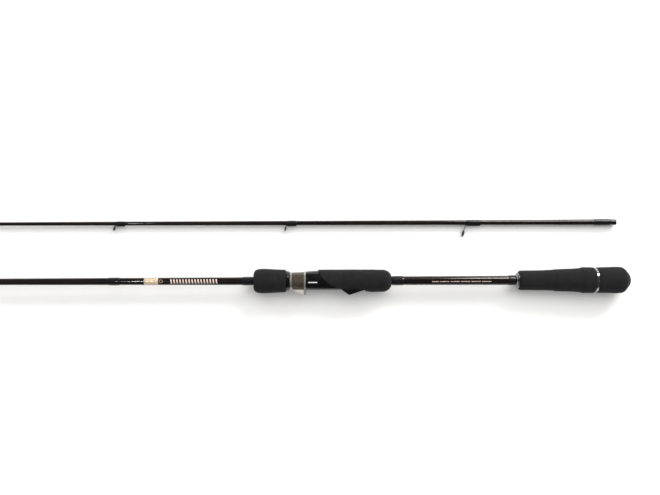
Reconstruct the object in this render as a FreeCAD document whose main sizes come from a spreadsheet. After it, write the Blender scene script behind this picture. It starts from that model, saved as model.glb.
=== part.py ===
import FreeCAD, Part
import math
import os
import re
import Sketcher

# A two-piece spinning rod, taken apart, with its two sections lying side by side on a table.
#
# Row frame: +X runs along the rods towards the butt end, +Z is up and the table is at Z = 0.
# The reel and the line guides are on the -Y side of both sections.
#
# Every piece is drawn in its section's own frame and then carried to the row frame:
#   along  distance from the section's butt-side end, towards the tip
#   out    distance from the section's axis, towards the reel side
#   up     height above the section's axis

doc = FreeCAD.newDocument("spinning_rod")
sheet = doc.addObject("Spreadsheet::Sheet", "Sheet")

DIMENSIONS = {
    # the two sections on the table
    "section_length": 1100.0,
    "tip_setback": 12.0,
    "tip_reach": 1104.0,
    "butt_axis_y": -18.2,
    "tip_axis_y": 47.5,
    "butt_axis_height": 15.0,
    "tip_axis_height": 4.5,
    "glue_gap": 0.02,
    "slide_gap": 0.05,
    # butt section blank
    "butt_rear_radius": 5.75,
    "butt_taper": 0.002868,
    "butt_wall_rear": 1.0,
    "butt_wall_front": 0.75,
    "blank_start": 4.0,
    "ferrule_length": 70.0,
    "male_radius": 2.73,
    "male_step": 4.5,
    "male_chamfer": 0.5,
    # tip section blank
    "socket_radius": 2.76,
    "mouth_radius": 3.33,
    "mouth_straight": 50.0,
    "mouth_end": 78.0,
    "tip_rear_radius": 3.132,
    "tip_rear_taper": 0.001432,
    "tip_middle": 560.0,
    "tip_middle_radius": 2.33,
    "tip_front_taper": 0.00237,
    "tip_wall": 0.55,
    # thread windings
    "winding_thickness": 0.45,
    "winding_ramp": 1.0,
    "foot_cover": 0.62,
    "foot_offset": 0.38,
    # line guides
    "foot_thickness": 0.7,
    "foot_width": 1.8,
    "plate_thickness": 0.8,
    "lean": 15.0,
    "ring_thickness": 1.8,
    # butt grip, accent ring and rear grip
    "butt_grip_length": 37.3,
    "butt_grip_radius": 15.0,
    "butt_grip_front_radius": 14.45,
    "butt_dome_depth": 2.3,
    "butt_dome_radius": 6.6,
    "butt_cone_end": 8.0,
    "butt_cone_radius": 14.2,
    "butt_round_end": 14.0,
    "plug_length": 10.0,
    "accent_start": 37.4,
    "accent_end": 41.9,
    "accent_radius": 13.45,
    "rear_grip_start": 42.0,
    "rear_grip_end": 126.6,
    "rear_collar_radius": 14.7,
    "rear_collar_end": 54.2,
    "rear_waist": 66.0,
    "rear_waist_radius": 12.95,
    "rear_step": 86.0,
    "rear_step_radius": 12.35,
    "rear_slim": 101.0,
    "rear_slim_radius": 11.3,
    "rear_front_radius": 11.05,
    "check_length": 2.9,
    "check_radius": 9.1,
    "check_nose_radius": 6.3,
    # reel seat
    "seat_start": 272.0,
    "seat_shoulder": 322.0,
    "seat_front": 366.0,
    "barrel_front": 412.0,
    "seat_bore": 6.2,
    "shank_radius": 9.0,
    "body_radius": 11.5,
    "body_front_radius": 10.9,
    "barrel_radius": 8.2,
    "bed_height": 9.7,
    "key_width": 3.0,
    "key_depth": 0.8,
    "arbor_length": 14.0,
    "fixed_lip_height": 15.2,
    "fixed_hood_wall": 1.05,
    "fixed_hood_half": 8.0,
    "fixed_hood_start": 300.0,
    "fixed_hood_apex": 317.5,
    "fixed_hood_mouth": 326.0,
    "fixed_pocket_end": 309.0,
    "fixed_pocket_rise": 2.4,
    # foam grip behind the reel seat
    "seat_grip_start": 270.1,
    "seat_grip_radius": 12.75,
    "seat_grip_tail_radius": 6.6,
    "seat_grip_round": 11.5,
    "seat_grip_front": 352.6,
    # moving hood
    "hood_rear": 366.3,
    "hood_front": 384.0,
    "hood_rear_radius": 10.3,
    "hood_front_radius": 9.75,
    "hood_bore": 9.1,
    "hood_lip_height": 14.6,
    "hood_half": 8.2,
    "hood_wall": 0.75,
    "pocket_depth": 9.2,
    "rim_length": 2.0,
    "rim_wall": 0.42,
    # lock nut, its collar and the fore grip
    "nut_rear": 376.0,
    "nut_flange": 384.2,
    "nut_front": 421.0,
    "nut_neck_radius": 8.95,
    "nut_flange_radius": 10.2,
    "nut_radius": 9.6,
    "collar_start": 385.25,
    "collar_end": 388.6,
    "collar_radius": 11.5,
    "foregrip_start": 388.65,
    "foregrip_front": 424.9,
    "foregrip_rear_radius": 12.75,
    "foregrip_belly": 416.0,
    "foregrip_belly_radius": 14.0,
    "foregrip_front_bore": 5.6,
    # windings on the butt section: where each starts and ends
    "trim_start": 129.7,
    "trim_end": 137.9,
    "seat_winding_start": 256.0,
    "seat_winding_end": 269.4,
    "fore_winding_start": 425.6,
    "fore_winding_end": 438.4,
    "band_start": 576.3,
    "band_end": 589.9,
    "ferrule_winding_start": 6.0,
    "ferrule_winding_end": 25.0,
    # butt guide, on two feet
    "butt_guide_at": 954.0,
    "butt_guide_rise": 31.0,
    "butt_guide_ring": 10.3,
    "butt_guide_foot": 15.0,
    "butt_guide_spread": 13.0,
    # tip top
    "top_tube_length": 12.0,
    "top_tube_radius": 1.5,
    "top_bore": 1.1,
    "top_cap": 1.1,
    "top_ring": 2.8,
    "top_rise": 6.6,
}

# The tip section's guides, from the tip top back to the ferrule. Each has its place along the
# section, the height of its ring's far edge above the blank, the ring's outer radius and the
# length of its foot.
GUIDES = {
    "guide_1": (995.0, 5.5, 2.55, 9.0),
    "guide_2": (878.0, 5.5, 2.55, 9.5),
    "guide_3": (738.0, 5.8, 2.7, 10.0),
    "guide_4": (573.0, 6.2, 2.9, 11.0),
    "guide_5": (377.0, 6.8, 3.1, 11.0),
    "guide_6": (172.0, 14.0, 4.5, 16.5),
}

for name, (at, rise, ring, foot) in GUIDES.items():
    DIMENSIONS[name + "_at"] = at
    DIMENSIONS[name + "_rise"] = rise
    DIMENSIONS[name + "_ring"] = ring
    DIMENSIONS[name + "_foot"] = foot

for row, (alias, number) in enumerate(DIMENSIONS.items(), start=1):
    sheet.set(f"A{row}", alias.replace("_", " "))
    sheet.set(f"B{row}", str(number))
    sheet.setAlias(f"B{row}", alias)
doc.recompute()

pieces = []


def sized(text):
    """The expression with each of the sheet's names made a reference to its cell."""
    names = "|".join(sorted(DIMENSIONS, key=len, reverse=True))
    return re.sub(rf"\b({names})\b", r"Sheet.\1", text)


def value(text):
    """The number that an expression gives now."""
    return float(sheet.evalExpression(sized(text)))


def butt_radius(along):
    """The butt blank's outer radius at a place along it."""
    return f"(butt_rear_radius - butt_taper * ({along}))"


def tip_radius(along):
    """The tip blank's outer radius at a place along it, past the ferrule."""
    if value(along) < value("tip_middle"):
        return f"(tip_rear_radius - tip_rear_taper * ({along}))"
    return f"(tip_middle_radius - tip_front_taper * ({along} - tip_middle))"


SECTIONS = {
    "butt": {
        "x": "(tip_setback + tip_reach) / 2",
        "y": "butt_axis_y",
        "z": "butt_axis_height",
        "radius": butt_radius,
    },
    "tip": {
        "x": "(tip_reach - tip_setback) / 2",
        "y": "tip_axis_y",
        "z": "tip_axis_height",
        "radius": tip_radius,
    },
}


def finish(piece, label, section):
    """Names a finished piece and carries it to its section's place on the table."""
    piece.Label = label
    half_turn = FreeCAD.Rotation(FreeCAD.Vector(0, 0, 1), 180)
    piece.Placement = FreeCAD.Placement(FreeCAD.Vector(), half_turn)
    for letter in "xyz":
        piece.setExpression(f"Placement.Base.{letter}", sized(SECTIONS[section][letter]))
    pieces.append(piece)
    return piece


def draw(sketch, outline):
    """Draws a closed outline of (along, out) corners, each bound to the sheet.

    A third item on a corner is the radius of the arc from it to the next corner. A plus sign
    turns the arc clockwise and a minus sign the other way.
    """
    corners = [FreeCAD.Vector(value(corner[0]), value(corner[1]), 0) for corner in outline]
    ends = []
    for index, corner in enumerate(outline):
        first = corners[index]
        second = corners[(index + 1) % len(corners)]
        if len(corner) == 2:
            sketch.addGeometry(Part.LineSegment(first, second), False)
            ends.append((1, 2))
            continue
        clockwise = not corner[2].startswith("-")
        radius = value(corner[2].lstrip("-"))
        chord = second - first
        side = FreeCAD.Vector(chord.y, -chord.x, 0).normalize()
        if not clockwise:
            side = side * -1
        middle = (first + second) * 0.5
        centre = middle + side * math.sqrt(radius**2 - (chord.Length / 2) ** 2)
        start, stop = (second, first) if clockwise else (first, second)
        angles = [math.atan2(p.y - centre.y, p.x - centre.x) for p in (start, stop)]
        circle = Part.Circle(centre, FreeCAD.Vector(0, 0, 1), radius)
        sketch.addGeometry(Part.ArcOfCircle(circle, *angles), False)
        ends.append((2, 1) if clockwise else (1, 2))
    for index, corner in enumerate(outline):
        last = index - 1 if index else len(outline) - 1
        sketch.addConstraint(
            Sketcher.Constraint("Coincident", last, ends[last][1], index, ends[index][0])
        )
        for kind, text in (("DistanceX", corner[0]), ("DistanceY", corner[1])):
            bound = Sketcher.Constraint(kind, -1, 1, index, ends[index][0], value(text))
            number = sketch.addConstraint(bound)
            sketch.setExpression(f"Constraints[{number}]", sized(text))
        if len(corner) == 3:
            text = corner[2].lstrip("-")
            number = sketch.addConstraint(Sketcher.Constraint("Radius", index, value(text)))
            sketch.setExpression(f"Constraints[{number}]", sized(text))


def turned(name, outline):
    """A body turned about the section's axis."""
    body = doc.addObject("PartDesign::Body", name)
    sketch = body.newObject("Sketcher::SketchObject", name + "_outline")
    planes = {feature.Role: feature for feature in body.Origin.OriginFeatures}
    sketch.AttachmentSupport = [(planes["XY_Plane"], "")]
    sketch.MapMode = "FlatFace"
    draw(sketch, outline)
    spin = body.newObject("PartDesign::Revolution", name + "_turned")
    spin.Profile = sketch
    spin.ReferenceAxis = (planes["X_Axis"], [""])
    spin.Angle = 360
    body.Tip = spin
    return body


def prism(name, outline, half_width):
    """A side outline pushed out evenly to both sides of the middle plane."""
    sketch = doc.addObject("Sketcher::SketchObject", name + "_outline")
    draw(sketch, outline)
    solid = doc.addObject("Part::Extrusion", name)
    solid.Base = sketch
    solid.DirMode = "Custom"
    solid.Dir = FreeCAD.Vector(0, 0, 1)
    solid.Solid = True
    solid.Symmetric = True
    solid.setExpression("LengthFwd", sized(f"2 * ({half_width})"))
    return solid


def rod(name, radius, start, end, out="0"):
    """A round bar along the section's axis, or beside it."""
    bar = doc.addObject("Part::Cylinder", name)
    bar.setExpression("Radius", sized(radius))
    bar.setExpression("Height", sized(f"({end}) - ({start})"))
    bar.Placement = FreeCAD.Placement(
        FreeCAD.Vector(), FreeCAD.Rotation(FreeCAD.Vector(0, 1, 0), 90)
    )
    bar.setExpression("Placement.Base.x", sized(start))
    bar.setExpression("Placement.Base.y", sized(out))
    return bar


def tapered_rod(name, rule, start, end, extra="0"):
    """A round bar that follows a blank's taper, with an extra radius all along."""
    bar = doc.addObject("Part::Cone", name)
    bar.setExpression("Radius1", sized(f"{rule(start)} + {extra}"))
    bar.setExpression("Radius2", sized(f"{rule(end)} + {extra}"))
    bar.setExpression("Height", sized(f"({end}) - ({start})"))
    bar.Placement = FreeCAD.Placement(
        FreeCAD.Vector(), FreeCAD.Rotation(FreeCAD.Vector(0, 1, 0), 90)
    )
    bar.setExpression("Placement.Base.x", sized(start))
    return bar


def joined(name, solids):
    fuse = doc.addObject("Part::MultiFuse", name)
    fuse.Shapes = solids
    fuse.Refine = True
    return fuse


def cut(name, base, tools):
    """The base less every tool."""
    tool = tools[0] if len(tools) == 1 else joined(name + "_tools", tools)
    result = doc.addObject("Part::Cut", name)
    result.Base = base
    result.Tool = tool
    return result


# ---------------------------------------------------------------- blanks


def butt_blank():
    """Tapered carbon tube, with the straight male ferrule at its tip end."""
    step = "(section_length - ferrule_length - male_step)"
    male = "(section_length - ferrule_length)"
    outline = [
        ("blank_start", "butt_rear_radius - butt_wall_rear"),
        ("blank_start", butt_radius("blank_start")),
        (step, butt_radius(step)),
        (male, "male_radius"),
        ("section_length - male_chamfer", "male_radius"),
        ("section_length", "male_radius - male_chamfer / 2"),
        ("section_length", "male_radius - butt_wall_front"),
    ]
    finish(turned("ButtBlank", outline), "butt_blank", "butt")


def tip_blank():
    """Tapered carbon tube, swollen at its open end round the straight ferrule socket."""
    socket_end = "(ferrule_length + 2)"
    outline = [
        ("0", "socket_radius"),
        ("0", "mouth_radius"),
        ("mouth_straight", "mouth_radius"),
        ("mouth_end", tip_radius("mouth_end")),
        ("tip_middle", "tip_middle_radius"),
        ("section_length", tip_radius("section_length")),
        ("section_length", f"{tip_radius('section_length')} - tip_wall"),
        ("tip_middle", "tip_middle_radius - tip_wall"),
        (f"{socket_end} + 2", f"{tip_radius(socket_end)} - tip_wall"),
        (socket_end, "socket_radius"),
    ]
    finish(turned("TipBlank", outline), "tip_blank", "tip")


# ---------------------------------------------------------------- windings


def winding(label, section, start, end, rule=None):
    """Thread wound round a blank and varnished, with ramps at its ends."""
    rule = rule or SECTIONS[section]["radius"]
    ramp_start = f"{start} + winding_ramp"
    ramp_end = f"{end} - winding_ramp"
    outline = [
        (start, f"{rule(start)} + glue_gap"),
        (start, f"{rule(start)} + winding_thickness / 2"),
        (ramp_start, f"{rule(ramp_start)} + winding_thickness"),
        (ramp_end, f"{rule(ramp_end)} + winding_thickness"),
        (end, f"{rule(end)} + winding_thickness / 2"),
        (end, f"{rule(end)} + glue_gap"),
    ]
    name = "".join(word.title() for word in label.split("_"))
    finish(turned(name, outline), label, section)


def mouth_rule(along):
    """The open end of the tip section is straight, so its radius is the same all along."""
    return "mouth_radius"


def foot_winding(label, section, start, end, foot):
    """Thread wound over a guide's foot, so it stands out further on the reel side."""
    rule = SECTIONS[section]["radius"]
    middle = f"({start} + {end}) / 2"
    outside = rod(label + "_outside", f"{rule(middle)} + foot_cover", start, end, "foot_offset")
    hole = tapered_rod(label + "_hole", rule, f"{start} - 1", f"{end} + 1", "glue_gap")
    finish(cut(label, outside, [hole, foot]), label, section)


# ---------------------------------------------------------------- line guides


def guide_plate(name, ring, rise, base, at):
    """A stamped plate that stands on the blank: a hoop on two legs, leaning to the tip."""
    hoop_wall = f"(0.35 + 0.07 * {ring})"
    centre = f"({rise} - {ring})"
    disc = rod(name + "_hoop", ring, "0 - plate_thickness / 2", "plate_thickness / 2", centre)
    legs = doc.addObject("Part::Wedge", name + "_legs")
    sizes = {
        "Xmin": "0 - plate_thickness / 2",
        "X2min": "0 - plate_thickness / 2",
        "Xmax": "plate_thickness / 2",
        "X2max": "plate_thickness / 2",
        "Ymin": "0.15",
        "Ymax": centre,
        "Zmin": "0 - foot_width / 2",
        "Zmax": "foot_width / 2",
        "Z2min": f"0 - {ring} * 0.96",
        "Z2max": f"{ring} * 0.96",
    }
    for side, text in sizes.items():
        legs.setExpression(side, sized(text))
    hole = rod(name + "_hole", f"{ring} - {hoop_wall}", "0 - 2", "2", centre)
    tools = [hole]
    if value(f"{rise} - 2 * {ring}") > 3:
        window = doc.addObject("Part::Wedge", name + "_window")
        gap = {
            "Xmin": "0 - 2",
            "X2min": "0 - 2",
            "Xmax": "2",
            "X2max": "2",
            "Ymin": f"1.6 + 0.1 * ({rise} - 2 * {ring})",
            "Ymax": f"{rise} - 2 * {ring} - 0.3",
            "Zmin": "0 - foot_width * 0.2",
            "Zmax": "foot_width * 0.2",
            "Z2min": f"0 - {ring} * 0.36",
            "Z2max": f"{ring} * 0.36",
        }
        for side, text in gap.items():
            window.setExpression(side, sized(text))
        tools.append(window)
    plate = cut(name + "_plate", joined(name + "_outer", [disc, legs]), tools)
    plate.Placement = FreeCAD.Placement(
        FreeCAD.Vector(), FreeCAD.Rotation(FreeCAD.Vector(0, 0, 1), -value("lean"))
    )
    plate.setExpression("Placement.Base.x", sized(at))
    plate.setExpression("Placement.Base.y", sized(base))
    return plate


def guide_ring(label, section, ring, rise, base, at):
    """A ceramic ring pressed into a guide's hoop, with a rounded face on each side."""
    outer = f"({ring} - (0.35 + 0.07 * {ring}) - glue_gap)"
    wall = f"(0.32 + 0.075 * {ring})"
    half = "ring_thickness / 2"
    outline = [
        (f"0 - {half}", f"{outer} - {wall} * 0.7"),
        (f"0 - {half}", f"{outer} - {wall} * 0.35"),
        (f"0 - {half} * 0.45", outer),
        (f"{half} * 0.45", outer),
        (half, f"{outer} - {wall} * 0.35"),
        (half, f"{outer} - {wall} * 0.7"),
        (f"{half} * 0.4", f"{outer} - {wall}"),
        (f"0 - {half} * 0.4", f"{outer} - {wall}"),
    ]
    body = turned("".join(word.title() for word in label.split("_")), outline)
    finish(body, label, section)
    tilt = FreeCAD.Rotation(FreeCAD.Vector(0, 0, 1), 180 - value("lean"))
    body.Placement = FreeCAD.Placement(FreeCAD.Vector(), tilt)
    lift = f"({rise} - {ring})"
    place = SECTIONS[section]
    reach = f"({at} + {lift} * sin(lean * 1deg))"
    height = f"({base} + {lift} * cos(lean * 1deg))"
    body.setExpression("Placement.Base.x", sized(f"{place['x']} - {reach}"))
    body.setExpression("Placement.Base.y", sized(f"{place['y']} - {height}"))
    body.setExpression("Placement.Base.z", sized(place["z"]))


def foot(name, start, end, base):
    """A guide's flat foot, which thins towards its free end."""
    tongue = doc.addObject("Part::Box", name)
    tongue.setExpression("Length", sized(f"{end} - ({start})"))
    tongue.setExpression("Width", sized("foot_thickness"))
    tongue.setExpression("Height", sized("foot_width"))
    tongue.setExpression("Placement.Base.x", sized(start))
    tongue.setExpression("Placement.Base.y", sized(base))
    tongue.setExpression("Placement.Base.z", sized("0 - foot_width / 2"))
    return tongue


def single_foot_guide(label):
    """A guide on one foot, on the butt side of its ring."""
    at = label + "_at"
    rise = label + "_rise"
    ring = label + "_ring"
    start = f"({at} - {label}_foot)"
    base = f"({tip_radius(start)} + glue_gap)"
    tongue = foot(label + "_foot_strip", start, f"{at} + plate_thickness / 2", base)
    plate = guide_plate(label, ring, rise, base, at)
    finish(joined(label + "_frame", [tongue, plate]), label + "_frame", "tip")
    guide_ring(label + "_ring", "tip", ring, rise, base, at)
    strip = foot(label + "_foot_space", f"{start} - 2", f"{at} + 2", base)
    foot_winding(label + "_winding", "tip", f"({start} - 1)", f"({at} - 1.2)", strip)


def butt_guide():
    """The largest guide, on two feet, with a strut that braces its plate from behind."""
    rear_start = "(butt_guide_at - butt_guide_spread - butt_guide_foot)"
    rear_end = "(butt_guide_at - butt_guide_spread)"
    front_end = "(butt_guide_at + butt_guide_foot)"
    base = f"({butt_radius(rear_start)} + glue_gap)"
    rear = foot("butt_guide_rear_strip", rear_start, rear_end, base)
    front = foot("butt_guide_front_strip", "(butt_guide_at - 1)", front_end, base)
    plate = guide_plate("butt_guide", "butt_guide_ring", "butt_guide_rise", base, "butt_guide_at")
    hoop = "(butt_guide_rise - 2 * butt_guide_ring)"
    corners = []
    for height in (f"({hoop} + 0.9)", f"({hoop} + 0.1)"):
        leaning = f"butt_guide_at + {height} * sin(lean * 1deg)"
        corners.append((leaning, f"{base} + {height} * cos(lean * 1deg)"))
    strut = prism(
        "butt_guide_strut",
        [
            (f"{rear_end} - 1.5", base),
            (f"{rear_end} - 1.5", f"{base} + foot_thickness"),
            *corners,
            (f"{rear_end} + 0.3", base),
        ],
        "foot_width / 2",
    )
    frame = joined("butt_guide_frame", [rear, front, plate, strut])
    finish(frame, "butt_guide_frame", "butt")
    guide_ring(
        "butt_guide_ring", "butt", "butt_guide_ring", "butt_guide_rise", base, "butt_guide_at"
    )
    rear_space = foot("butt_guide_rear_space", f"{rear_start} - 2", f"{rear_end} + 2", base)
    front_space = foot("butt_guide_front_space", "butt_guide_at", f"{front_end} + 2", base)
    foot_winding(
        "butt_guide_rear_winding",
        "butt",
        f"({rear_start} - 1)",
        f"({rear_end} - 2)",
        rear_space,
    )
    foot_winding(
        "butt_guide_front_winding",
        "butt",
        "(butt_guide_at + 1.6)",
        f"({front_end} + 1)",
        front_space,
    )


def tip_top():
    """The last guide: a tube that caps the tip, with its ring on a short plate."""
    start = "(section_length - top_tube_length)"
    inner_end = "(section_length + 0.2)"
    end = f"({inner_end} + top_cap)"
    outline = [
        (start, "top_bore"),
        (start, "top_tube_radius - 0.1"),
        (f"{start} + 0.6", "top_tube_radius"),
        (f"{end} - 0.5", "top_tube_radius"),
        (end, "top_tube_radius - 0.5"),
        (end, "0"),
        (inner_end, "0"),
        (inner_end, "top_bore"),
    ]
    tube = turned("TipTopTube", outline)
    at = f"({end} - 0.7)"
    base = "(top_tube_radius - 0.25)"
    plate = guide_plate("tip_top", "top_ring", "top_rise", base, at)
    finish(joined("tip_top_frame", [tube, plate]), "tip_top_frame", "tip")
    guide_ring("tip_top_ring", "tip", "top_ring", "top_rise", base, at)


# ---------------------------------------------------------------- rear handle


def rear_handle():
    """Foam butt grip with a domed end, metal accent ring, long foam grip and its check."""
    bore = f"{butt_radius('0')} + glue_gap"
    dome = "butt_dome_radius^2 / (2 * butt_dome_depth) + butt_dome_depth / 2"
    outline = [
        ("0", "0", f"({dome})"),
        ("butt_dome_depth", "butt_dome_radius"),
        ("butt_cone_end", "butt_cone_radius", "7"),
        ("butt_round_end", "butt_grip_radius"),
        ("butt_grip_length - 1.2", "butt_grip_front_radius", "1.6"),
        ("butt_grip_length", "butt_grip_front_radius - 1"),
        ("butt_grip_length", bore),
        ("blank_start - 0.1", bore),
        ("blank_start - 0.1", "0"),
    ]
    finish(turned("ButtGrip", outline), "butt_grip", "butt")

    plug_radius = "(butt_rear_radius - butt_wall_rear - 0.06)"
    plug_end = "(blank_start + plug_length)"
    outline = [
        ("blank_start", "0"),
        ("blank_start", plug_radius),
        (plug_end, plug_radius),
        (plug_end, "0"),
    ]
    finish(turned("ButtPlug", outline), "butt_plug", "butt")

    outline = [
        ("accent_start", f"{butt_radius('accent_start')} + glue_gap"),
        ("accent_start", "accent_radius - 0.3"),
        ("accent_start + 0.4", "accent_radius"),
        ("accent_end - 0.4", "accent_radius"),
        ("accent_end", "accent_radius - 0.3"),
        ("accent_end", f"{butt_radius('accent_start')} + glue_gap"),
    ]
    finish(turned("AccentRing", outline), "accent_ring", "butt")

    outline = [
        ("rear_grip_start", f"{butt_radius('rear_grip_start')} + glue_gap"),
        ("rear_grip_start", "rear_collar_radius - 1.2", "1.7"),
        ("rear_grip_start + 1.6", "rear_collar_radius"),
        ("rear_collar_end", "rear_collar_radius", "4"),
        ("rear_collar_end + 2.6", "rear_collar_radius - 0.9", "-14"),
        ("rear_waist", "rear_waist_radius"),
        ("rear_step", "rear_step_radius", "3"),
        ("rear_step + 2", "rear_step_radius - 0.5"),
        ("rear_slim", "rear_slim_radius"),
        ("rear_grip_end - 2.2", "rear_front_radius", "2.6"),
        ("rear_grip_end", "rear_front_radius - 2"),
        ("rear_grip_end", f"{butt_radius('rear_grip_end')} + glue_gap"),
    ]
    finish(turned("RearGrip", outline), "rear_grip", "butt")

    start = "(rear_grip_end + 0.1)"
    bore = f"{butt_radius(start)} + glue_gap"
    outline = [
        (start, bore),
        (start, "check_radius"),
        (f"{start} + 0.8", "check_radius", "4"),
        (f"{start} + check_length", "check_nose_radius"),
        (f"{start} + check_length", bore),
    ]
    finish(turned("WindingCheck", outline), "winding_check", "butt")


# ---------------------------------------------------------------- reel seat


def reel_seat():
    """Moulded seat: shank, body with a flat bed, fixed hood, and keyed screw barrel."""
    outline = [
        ("seat_start", "seat_bore"),
        ("seat_start", "shank_radius"),
        ("seat_shoulder", "shank_radius"),
        ("seat_shoulder", "body_radius"),
        ("seat_front - 10", "body_radius"),
        ("seat_front", "body_front_radius"),
        ("seat_front", "barrel_radius"),
        ("barrel_front", "barrel_radius"),
        ("barrel_front", "seat_bore"),
    ]
    barrel = turned("SeatBarrel", outline)
    bed = prism(
        "seat_bed_space",
        [
            ("seat_shoulder - 1", "bed_height"),
            ("seat_shoulder - 1", "body_radius + 3"),
            ("seat_front + 1", "body_radius + 3"),
            ("seat_front + 1", "bed_height"),
        ],
        "body_radius",
    )
    key = prism(
        "seat_key_space",
        [
            ("seat_front", "0 - barrel_radius + key_depth"),
            ("seat_front", "0 - barrel_radius - 1"),
            ("barrel_front + 1", "0 - barrel_radius - 1"),
            ("barrel_front + 1", "0 - barrel_radius + key_depth"),
        ],
        "key_width / 2",
    )
    body = cut("seat_with_bed", barrel, [bed, key])
    hood = prism(
        "fixed_hood",
        [
            ("fixed_hood_start", "seat_bore + 1"),
            ("fixed_hood_start", "bed_height"),
            ("fixed_hood_apex - 1.2", "fixed_lip_height"),
            ("fixed_hood_apex + 1", "fixed_lip_height"),
            ("fixed_hood_mouth", "bed_height"),
            ("fixed_hood_mouth", "seat_bore + 1"),
        ],
        "fixed_hood_half",
    )
    pocket = prism(
        "fixed_pocket",
        [
            ("fixed_pocket_end", "bed_height"),
            ("fixed_pocket_end", "bed_height + fixed_pocket_rise"),
            ("fixed_hood_apex - 1", "fixed_lip_height - fixed_hood_wall"),
            ("fixed_hood_mouth + 3", "fixed_lip_height - fixed_hood_wall"),
            ("fixed_hood_mouth + 3", "bed_height"),
        ],
        "fixed_hood_half - fixed_hood_wall",
    )
    whole = cut("reel_seat_body", joined("seat_with_hood", [body, hood]), [pocket])
    finish(whole, "reel_seat_body", "butt")


def seat_arbors():
    """Bushes that centre the seat on the blank, glued inside it at both ends."""
    places = {
        "rear_arbor": "(seat_start + 4)",
        "front_arbor": "(barrel_front - arbor_length - 2)",
    }
    for label, start in places.items():
        end = f"({start} + arbor_length)"
        outline = [
            (start, f"{butt_radius(start)} + glue_gap"),
            (start, "seat_bore - glue_gap"),
            (end, "seat_bore - glue_gap"),
            (end, f"{butt_radius(end)} + glue_gap"),
        ]
        finish(turned(label.title().replace("_", ""), outline), label, "butt")


def seat_grip():
    """Foam grip behind the seat: round at the tail, flush with the bed, slanted in front."""
    outline = [
        ("seat_grip_start", f"{butt_radius('seat_grip_start')} + 0.1"),
        ("seat_grip_start", "seat_grip_tail_radius", "11"),
        ("seat_grip_start + seat_grip_round", "seat_grip_radius - 0.3"),
        ("seat_grip_start + 22", "seat_grip_radius"),
        ("seat_grip_front", "seat_grip_radius"),
        ("seat_grip_front", "body_radius + glue_gap"),
        ("seat_shoulder", "body_radius + glue_gap"),
        ("seat_shoulder", "shank_radius + glue_gap"),
        ("seat_start - 0.1", "shank_radius + glue_gap"),
        ("seat_start - 0.1", f"{butt_radius('seat_grip_start')} + 0.1"),
    ]
    sleeve = turned("SeatGripSleeve", outline)
    slant = prism(
        "seat_grip_slant",
        [
            ("seat_grip_front + 3", "0 - seat_grip_radius - 2"),
            ("seat_grip_front", "0 - seat_grip_radius - 2"),
            ("seat_grip_front", "0 - seat_grip_radius + 1", "-34"),
            ("seat_shoulder", "bed_height - 1"),
            ("seat_shoulder", "seat_grip_radius + 2"),
            ("seat_grip_front + 3", "seat_grip_radius + 2"),
        ],
        "seat_grip_radius + 2",
    )
    flush = prism(
        "seat_grip_flush",
        [
            ("seat_grip_start + 20", "seat_grip_radius + 0.5"),
            ("fixed_hood_start + 3", "bed_height + 0.9"),
            ("seat_shoulder + 1", "bed_height + 0.2"),
            ("seat_shoulder + 1", "seat_grip_radius + 2"),
            ("seat_grip_start + 20", "seat_grip_radius + 2"),
        ],
        "seat_grip_radius + 2",
    )
    seat = rod("seat_grip_bore", "seat_bore + 2", "seat_start", "seat_front")
    hood_room = prism(
        "seat_grip_hood_room",
        [
            ("fixed_hood_start - 0.05", "seat_bore"),
            ("fixed_hood_start - 0.05", "seat_grip_radius + 4"),
            ("fixed_hood_mouth + 1", "seat_grip_radius + 4"),
            ("fixed_hood_mouth + 1", "seat_bore"),
        ],
        "fixed_hood_half + 0.05",
    )
    finish(cut("seat_grip", sleeve, [slant, flush, seat, hood_room]), "seat_grip", "butt")


# ---------------------------------------------------------------- moving hood


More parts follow.
